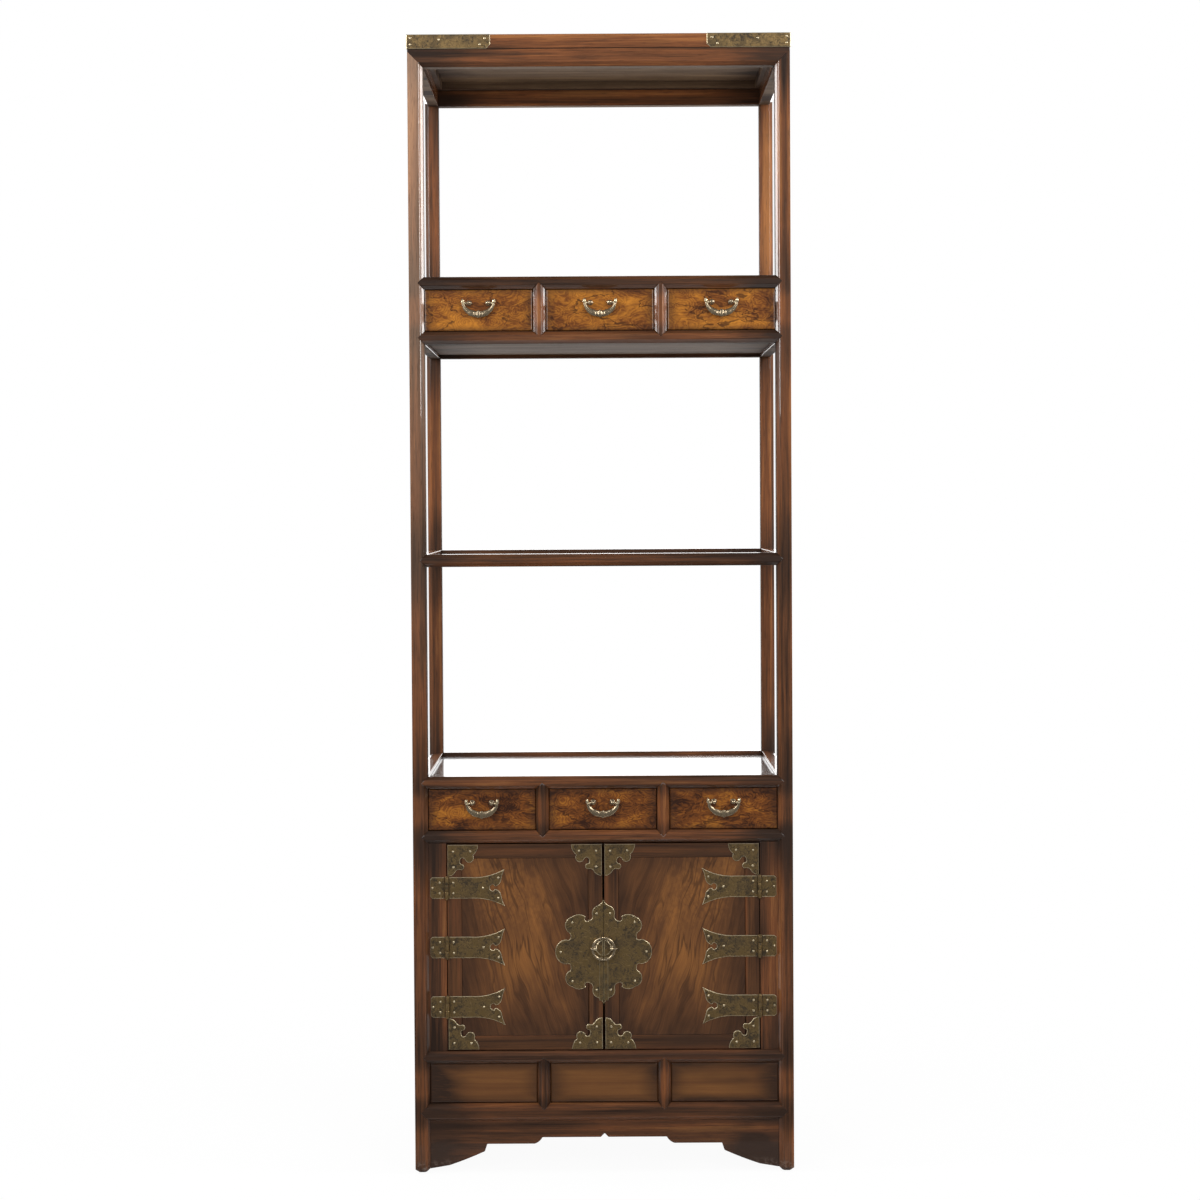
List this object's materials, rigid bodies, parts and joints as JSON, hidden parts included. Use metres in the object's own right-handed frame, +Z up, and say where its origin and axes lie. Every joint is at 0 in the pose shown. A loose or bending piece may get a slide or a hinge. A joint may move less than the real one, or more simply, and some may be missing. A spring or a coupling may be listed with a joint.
{
  "type": "display cabinet",
  "caption": "Tall narrow wooden display cabinet with open tiers, rows of small drawers with bail pulls, a pair of brass-mounted doors and a shaped apron between the feet.",
  "frame": {"origin": "middle of the footprint, on the floor", "axes": "+X to the right of someone facing the doors, +Y to the back, +Z up"},
  "size_m": [0.5924, 0.3567, 1.7655],
  "materials": {
    "frame_wood": "dark red-brown polished hardwood",
    "drawer_wood": "amber burl, polished",
    "panel_wood": "figured brown wood, polished",
    "inner_wood": "plain unfinished wood",
    "brass": "aged olive brass with bright edges"
  },
  "bodies": {
    "carcase": {"front_left_post": "frame_wood", "front_right_post": "frame_wood", "rear_left_post": "frame_wood", "rear_right_post": "frame_wood", "front_rails": "frame_wood", "rear_rails": "frame_wood", "side_rails": "frame_wood", "muntins": "frame_wood", "top_frame": "frame_wood", "top_panel": "frame_wood", "top_corner_straps": "brass", "upper_shelf_panel": "frame_wood", "upper_drawer_floor": "inner_wood", "middle_shelf_panel": "frame_wood", "counter_panel": "frame_wood", "lower_drawer_floor": "inner_wood", "cupboard_floor": "inner_wood", "side_panels": "frame_wood", "back_panels": "inner_wood", "base_panels": "panel_wood", "drawer_partitions": "inner_wood", "drawer_guides": "inner_wood", "door_jambs": "frame_wood", "door_stops": "inner_wood", "front_apron": "frame_wood", "side_aprons": "frame_wood", "hinge_jamb_leaves": "brass", "hinge_pins": "brass"},
    "left_door": {"left_door_frame": "frame_wood", "left_door_panel": "panel_wood", "left_hinge_straps": "brass", "left_corner_mounts": "brass", "left_lock_plate": "brass", "left_lock_eye": "brass"},
    "left_ring": {"left_ring_half": "brass"},
    "right_door": {"right_door_frame": "frame_wood", "right_door_panel": "panel_wood", "right_hinge_straps": "brass", "right_corner_mounts": "brass", "right_lock_plate": "brass", "right_lock_eye": "brass"},
    "right_ring": {"right_ring_half": "brass"},
    "upper_left_drawer_box": {"upper_left_drawer": "drawer_wood", "upper_left_pull_posts": "brass"},
    "upper_left_handle": {"upper_left_bail": "brass"},
    "upper_centre_drawer_box": {"upper_centre_drawer": "drawer_wood", "upper_centre_pull_posts": "brass"},
    "upper_centre_handle": {"upper_centre_bail": "brass"},
    "upper_right_drawer_box": {"upper_right_drawer": "drawer_wood", "upper_right_pull_posts": "brass"},
    "upper_right_handle": {"upper_right_bail": "brass"},
    "lower_left_drawer_box": {"lower_left_drawer": "drawer_wood", "lower_left_pull_posts": "brass"},
    "lower_left_handle": {"lower_left_bail": "brass"},
    "lower_centre_drawer_box": {"lower_centre_drawer": "drawer_wood", "lower_centre_pull_posts": "brass"},
    "lower_centre_handle": {"lower_centre_bail": "brass"},
    "lower_right_drawer_box": {"lower_right_drawer": "drawer_wood", "lower_right_pull_posts": "brass"},
    "lower_right_handle": {"lower_right_bail": "brass"}
  },
  "joints": [
    {"name": "left_door_hinge", "type": "hinge", "parent": "carcase", "child": "left_door", "pos_m": [-0.2434, -0.1723, 0.352], "axis": [0, 0, -1], "range_deg": [0, 165]},
    {"name": "left_ring_swing", "type": "hinge", "parent": "left_door", "child": "left_ring", "pos_m": [-0.017, -0.1772, 0.35], "axis": [0, 0, -1], "range_deg": [0, 100]},
    {"name": "right_door_hinge", "type": "hinge", "parent": "carcase", "child": "right_door", "pos_m": [0.2434, -0.1723, 0.352], "axis": [0, 0, 1], "range_deg": [0, 165]},
    {"name": "right_ring_swing", "type": "hinge", "parent": "right_door", "child": "right_ring", "pos_m": [0.017, -0.1772, 0.35], "axis": [0, 0, 1], "range_deg": [0, 100]},
    {"name": "upper_left_drawer_slide", "type": "slide", "parent": "carcase", "child": "upper_left_drawer_box", "axis": [0, -1, 0], "range_m": [0, 0.22]},
    {"name": "upper_left_bail_swing", "type": "hinge", "parent": "upper_left_drawer_box", "child": "upper_left_handle", "pos_m": [-0.18783, -0.176, 1.3525], "axis": [-1, 0, 0], "range_deg": [0, 95]},
    {"name": "upper_centre_drawer_slide", "type": "slide", "parent": "carcase", "child": "upper_centre_drawer_box", "axis": [0, -1, 0], "range_m": [0, 0.22]},
    {"name": "upper_centre_bail_swing", "type": "hinge", "parent": "upper_centre_drawer_box", "child": "upper_centre_handle", "pos_m": [0, -0.176, 1.3525], "axis": [-1, 0, 0], "range_deg": [0, 95]},
    {"name": "upper_right_drawer_slide", "type": "slide", "parent": "carcase", "child": "upper_right_drawer_box", "axis": [0, -1, 0], "range_m": [0, 0.22]},
    {"name": "upper_right_bail_swing", "type": "hinge", "parent": "upper_right_drawer_box", "child": "upper_right_handle", "pos_m": [0.18783, -0.176, 1.3525], "axis": [-1, 0, 0], "range_deg": [0, 95]},
    {"name": "lower_left_drawer_slide", "type": "slide", "parent": "carcase", "child": "lower_left_drawer_box", "axis": [0, -1, 0], "range_m": [0, 0.22]},
    {"name": "lower_left_bail_swing", "type": "hinge", "parent": "lower_left_drawer_box", "child": "lower_left_handle", "pos_m": [-0.18783, -0.176, 0.5775], "axis": [-1, 0, 0], "range_deg": [0, 95]},
    {"name": "lower_centre_drawer_slide", "type": "slide", "parent": "carcase", "child": "lower_centre_drawer_box", "axis": [0, -1, 0], "range_m": [0, 0.22]},
    {"name": "lower_centre_bail_swing", "type": "hinge", "parent": "lower_centre_drawer_box", "child": "lower_centre_handle", "pos_m": [0, -0.176, 0.5775], "axis": [-1, 0, 0], "range_deg": [0, 95]},
    {"name": "lower_right_drawer_slide", "type": "slide", "parent": "carcase", "child": "lower_right_drawer_box", "axis": [0, -1, 0], "range_m": [0, 0.22]},
    {"name": "lower_right_bail_swing", "type": "hinge", "parent": "lower_right_drawer_box", "child": "lower_right_handle", "pos_m": [0.18783, -0.176, 0.5775], "axis": [-1, 0, 0], "range_deg": [0, 95]}
  ]
}
